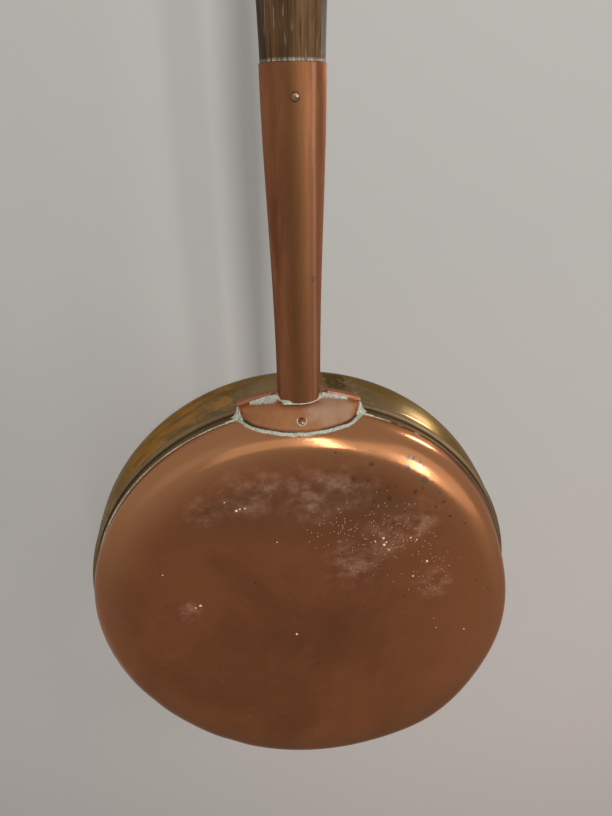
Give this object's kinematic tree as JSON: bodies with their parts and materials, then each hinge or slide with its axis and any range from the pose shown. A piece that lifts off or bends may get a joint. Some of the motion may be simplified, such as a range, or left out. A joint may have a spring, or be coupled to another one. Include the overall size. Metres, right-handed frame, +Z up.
{
  "type": "bed warming pan",
  "caption": "Long-handled copper and brass bed warming pan: shallow copper bowl, hinged pierced brass lid, copper handle socket, turned wooden handle and hanging ring.",
  "frame": {"origin": "under the top of the hanging ring, where a wall hook bears; the pan hangs straight below", "axes": "+Z up along the handle, -Y the way the copper underside faces (into the room), +Y the lid side, X across the pan along the lid's hinge"},
  "size_m": [0.3, 0.1182, 1.0984],
  "materials": {
    "copper": "worn polished copper",
    "lid_brass": "tarnished brass",
    "brass": "worn brass",
    "iron": "dark wrought iron",
    "wood": "old waxed hardwood"
  },
  "bodies": {
    "pan_and_handle": {"bowl": "copper", "rim_band": "brass", "rim_wire": "iron", "bracket_plate": "copper", "hinge_plate": "copper", "bracket_rivet": "copper", "bracket_rivet_burr": "copper", "hinge_pin": "iron", "handle_socket": "copper", "socket_braze": "brass", "socket_pin": "brass", "wooden_handle": "wood", "eye_washer": "brass", "hanging_eye": "brass"},
    "lid": {"lid": "lid_brass", "lid_strap": "brass", "strap_rivet_1": "copper", "strap_rivet_burr_1": "copper", "strap_rivet_2": "copper", "strap_rivet_burr_2": "copper"},
    "ring": {"hanging_ring": "brass"}
  },
  "joints": [
    {"name": "lid_hinge", "type": "hinge", "parent": "pan_and_handle", "child": "lid", "pos_m": [0, 0.0188, -0.7918], "axis": [1, 0, 0], "range_deg": [0, 95]},
    {"name": "ring_swing", "type": "hinge", "parent": "pan_and_handle", "child": "ring", "pos_m": [0, 0, -0.0282], "axis": [1, 0, 0], "range_deg": [-100, 100]}
  ]
}
